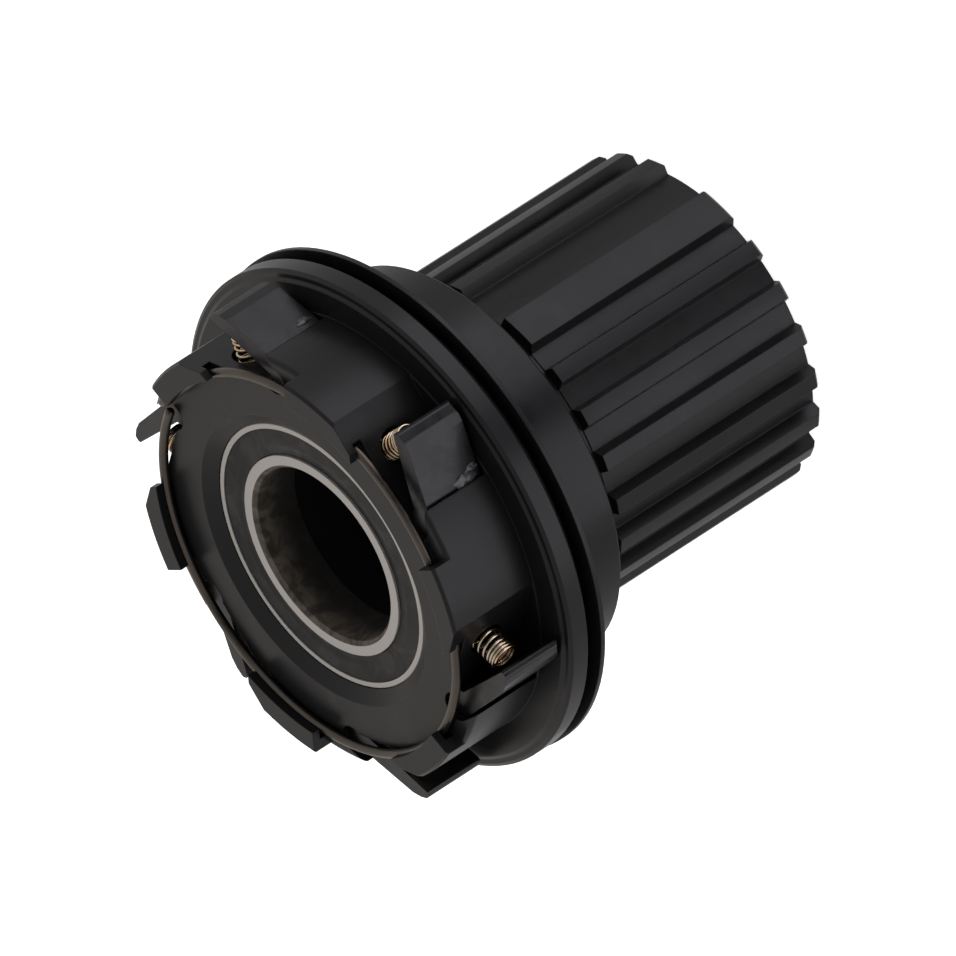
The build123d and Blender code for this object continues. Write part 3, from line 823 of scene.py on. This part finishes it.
def thread_points(t):
    """A thread's ridge. Round the bore the height climbs by one pitch each turn. Across
    the ridge the point goes from the wall, up one flank, over the rounded crest and down
    the other flank, and its base lies just behind the wall. The ridge fades in and out
    over its first and last third of a turn."""
    turns = (t.end - t.start) / t.pitch
    turn = np.linspace(0.0, turns, int(turns * THREAD_STEPS_PER_TURN))[:, None]
    fade = np.clip(np.minimum(turn, turns - turn) * THREAD_FADES, THREAD_THINNEST, 1.0)
    reach = t.radius - t.depth * THREAD_RISE[None] * fade
    round_axis = TAU * turn
    height = t.start + t.pitch * (turn + THREAD_FILL * THREAD_ACROSS[None] * fade)
    return np.stack([reach * np.cos(round_axis), reach * np.sin(round_axis), height], axis=2)


class FREEHUB_OT_lockring_thread(Operator):
    """Cuts the lockring's thread in the outboard bore, as a ridge on its wall"""

    bl_idname = "freehub.lockring_thread"
    bl_label = "Lockring thread"

    def execute(self, context):
        points = thread_points(settings().thread)[:, ::-1]
        thread = surface("lockring_thread_ridge", points)
        give(thread, "anodised_black")
        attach(thread, "body")
        return {"FINISHED"}


# ------------------------------------------------------------------ grease


# For each dab: its pawl, the radius and turn of its place, the turn its face looks to, its
# height and its size. Turns are in degrees from the pawl's own place, lengths in millimetres.
GREASE_DABS = (
    (1, 20.95, 28.4, 1.9, 39.2, 0.8),
    (2, 20.64, 26.7, 1.9, 39.7, 1.3),
    (2, 20.95, 28.6, 1.9, 38.7, 0.7),
    (3, 23.48, 41.6, 31.5, 43.0, 0.55),
)


def dab_points(centre, out, along, over, g, size, seed):
    """A dab of grease: a half-sunk rounded lump, longer along than across, whose radius is
    changed by a few sines of both angles."""
    top = TAU / 4 - DAB_TIP_ANGLE
    u = np.linspace(0, TAU, DAB_ROUND_STEPS, endpoint=False)[None, :]
    v = np.linspace(-top, top, DAB_RISE_STEPS)[:, None]
    lumps = np.sin(3 * u + seed) * np.cos(2 * v + seed) + 0.6 * np.sin(5 * u - 2 * seed) * np.cos(v)
    swell = size * (1 + g.roughness * 0.5 * lumps * np.cos(v))
    local = np.stack([
        g.spread * np.cos(v) * np.cos(u) * swell,
        g.spread * DAB_WIDTH * np.cos(v) * np.sin(u) * swell,
        g.height * np.sin(v) * (swell + 0 * u),
    ], axis=2)
    return centre + local @ np.stack([along, over, out])


class FREEHUB_OT_grease(Operator):
    """Leaves small dabs of grease on the pawls, near their heels and a tip"""

    bl_idname = "freehub.grease"
    bl_label = "Assembly grease"

    def execute(self, context):
        g = settings().grease
        for index, (pawl, radius, turn, tilt, height, size) in enumerate(GREASE_DABS):
            place = pawl_place(pawl) + math.radians(turn)
            facing = pawl_place(pawl) + math.radians(tilt)
            out = np.array([math.cos(facing), math.sin(facing), 0.0])
            along = np.array(UP)
            over = np.cross(out, along)
            centre = np.array([radius * math.cos(place), radius * math.sin(place), height]) * MM
            points = dab_points(centre, out, along, over, g, size, DAB_SEED_STEP * index)
            dab = surface(f"grease_dab_{index + 1}", points)
            dab.data.materials.append(bpy.data.materials["assembly_grease"])
            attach(dab, f"pawl_{pawl}")
        return {"FINISHED"}


# ------------------------------------------------------------------ stage


TOP_LIGHT = (0.56, -0.67, -0.49)
SIDE_LIGHT = (-0.50, -0.71, -0.49)
BACK_LIGHT = (0.0, 0.87, 0.49)
PLAIN_TINT = (1.0, 1.0, 1.0)
WARM_TINT = (1.0, 0.95, 0.91)
COOL_TINT = (0.98, 0.93, 1.0)


def make_camera(s):
    """The camera, aimed at the part and rolled about its own line."""
    data = bpy.data.cameras.new("studio_camera")
    data.lens = s.lens
    data.sensor_width = SENSOR_WIDTH
    data.clip_start = CLIP_NEAR
    data.clip_end = CLIP_FAR
    camera = bpy.data.objects.new("studio_camera", data)
    bpy.context.scene.collection.objects.link(camera)
    tilt = Matrix.Rotation(math.pi / 2 - s.elevation, 4, "X")
    roll = Matrix.Rotation(s.roll, 4, "Z")
    back = Matrix.Translation((0, 0, s.distance))
    camera.matrix_world = Matrix.Translation(Vector(s.target)) @ tilt @ roll @ back
    bpy.context.scene.camera = camera


def make_soft_box(name, direction, s, share=1.0):
    """A square soft lamp that faces the part from one direction. Its power is its radiance
    times its area times pi."""
    data = bpy.data.lights.new(name, "AREA")
    data.shape = "SQUARE"
    data.size = s.lamp_size
    data.color = COOL_TINT
    data.energy = s.lamp * share * s.lamp_size**2 * math.pi
    lamp = bpy.data.objects.new(name, data)
    bpy.context.scene.collection.objects.link(lamp)
    towards = Vector(direction).normalized()
    lamp.matrix_world = (
        Matrix.Translation(towards * s.lamp_distance + Vector(s.target))
        @ towards.to_track_quat("Z", "Y").to_matrix().to_4x4()
    )
    lamp.visible_camera = False


def direction_lobe(tree, place, direction, low, high):
    """How near the direction of light is to one direction, from 0 to 1."""
    dot = shader_node(tree, "ShaderNodeVectorMath", operation="DOT_PRODUCT")
    tree.links.new(place, dot.inputs[0])
    dot.inputs[1].default_value = direction
    return smooth_step(tree, dot.outputs["Value"], low, high)


def make_surround(s):
    """The pale surround: even and soft, a little brighter and warmer behind the part, and
    dark in an upright gap on the side of the camera."""
    world = bpy.data.worlds.new("pale_surround")
    world.use_nodes = True
    bpy.context.scene.world = world
    tree = world.node_tree
    background = tree.nodes["Background"]
    place = tree.nodes.new("ShaderNodeTexCoord").outputs["Generated"]
    back = direction_lobe(tree, place, BACK_LIGHT, 0.3, 0.95)
    front = direction_lobe(tree, place, (0.0, -1.0, 0.0), 0.15, 0.6)
    split = tree.nodes.new("ShaderNodeSeparateXYZ")
    tree.links.new(place, split.inputs[0])
    sideways = maths(tree, "ABSOLUTE", maths(tree, "SUBTRACT", split.outputs[0], GAP_CENTRE))
    narrow = smooth_step(tree, sideways, GAP_DARK_TO, GAP_GONE_AT, 1.0, 0.0)
    gap = maths(tree, "MULTIPLY", front, narrow)
    level = maths(tree, "ADD", s.ambient, maths(tree, "MULTIPLY", back, s.backdrop))
    left = maths(tree, "SUBTRACT", 1.0, maths(tree, "MULTIPLY", gap, GAP_DEPTH))
    level = maths(tree, "MULTIPLY", level, left)
    seen = tree.nodes.new("ShaderNodeLightPath").outputs["Is Camera Ray"]
    tree.links.new(maths(tree, "MAXIMUM", seen, level), background.inputs["Strength"])
    tree.links.new(blend(tree, back, PLAIN_TINT, WARM_TINT), background.inputs["Color"])


def make_floor():
    """A plain pale floor: white and lightly shaded to the camera, clear to other light."""
    mesh = bpy.data.meshes.new("studio_floor")
    half = FLOOR_HALF
    corners = [(-half, -half, 0), (half, -half, 0), (half, half, 0), (-half, half, 0)]
    mesh.from_pydata(corners, [], [(0, 1, 2, 3)])
    floor = bpy.data.objects.new("studio_floor", mesh)
    bpy.context.scene.collection.objects.link(floor)
    material, tree, shader = new_material("floor_paper")
    shader.inputs["Base Color"].default_value = (FLOOR_WHITE, FLOOR_WHITE, FLOOR_WHITE, 1)
    shader.inputs["Roughness"].default_value = 0.9
    shader.inputs["Emission Color"].default_value = (1, 1, 1, 1)
    shader.inputs["Emission Strength"].default_value = FLOOR_GLOW
    clear = tree.nodes.new("ShaderNodeBsdfTransparent")
    mix = tree.nodes.new("ShaderNodeMixShader")
    seen = tree.nodes.new("ShaderNodeLightPath").outputs["Is Camera Ray"]
    tree.links.new(seen, mix.inputs[0])
    tree.links.new(clear.outputs[0], mix.inputs[1])
    tree.links.new(shader.outputs[0], mix.inputs[2])
    out = next(node for node in tree.nodes if node.type == "OUTPUT_MATERIAL")
    tree.links.new(mix.outputs[0], out.inputs["Surface"])
    mesh.materials.append(material)


class FREEHUB_OT_stage(Operator):
    """Sets up the camera, the soft lamps, the pale surround and the floor"""

    bl_idname = "freehub.stage"
    bl_label = "Stage"

    def execute(self, context):
        s = settings().stage
        make_camera(s)
        make_soft_box("soft_box_top", TOP_LIGHT, s)
        make_soft_box("soft_box_side", SIDE_LIGHT, s, SIDE_LAMP_SHARE)
        make_surround(s)
        make_floor()
        context.scene.view_settings.view_transform = "Standard"
        return {"FINISHED"}


# ------------------------------------------------------------------ panel


OPERATORS = (
    FREEHUB_OT_finishes,
    FREEHUB_OT_pawl_springs,
    FREEHUB_OT_ring_wire,
    FREEHUB_OT_lockring_thread,
    FREEHUB_OT_grease,
    FREEHUB_OT_stage,
)


class FREEHUB_PT_panel(Panel):
    bl_idname = "FREEHUB_PT_panel"
    bl_label = "Freehub body"
    bl_space_type = "VIEW_3D"
    bl_region_type = "UI"
    bl_category = "Freehub"

    def draw(self, context):
        for operator in OPERATORS:
            self.layout.operator(operator.bl_idname)
        for name, group in GROUPS.items():
            box = self.layout.box()
            box.label(text=name.capitalize())
            for key in group.__annotations__:
                box.prop(getattr(settings(), name), key)


CLASSES = (*GROUPS.values(), FreehubSettings, *OPERATORS, FREEHUB_PT_panel)


def register():
    for cls in CLASSES:
        bpy.utils.register_class(cls)
    bpy.types.Scene.freehub = PointerProperty(type=FreehubSettings)


def unregister():
    del bpy.types.Scene.freehub
    for cls in reversed(CLASSES):
        bpy.utils.unregister_class(cls)


def main():
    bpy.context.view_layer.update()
    register()
    for operator in OPERATORS:
        group, name = operator.bl_idname.split(".")
        getattr(getattr(bpy.ops, group), name)()


if __name__ == "__main__":
    main()
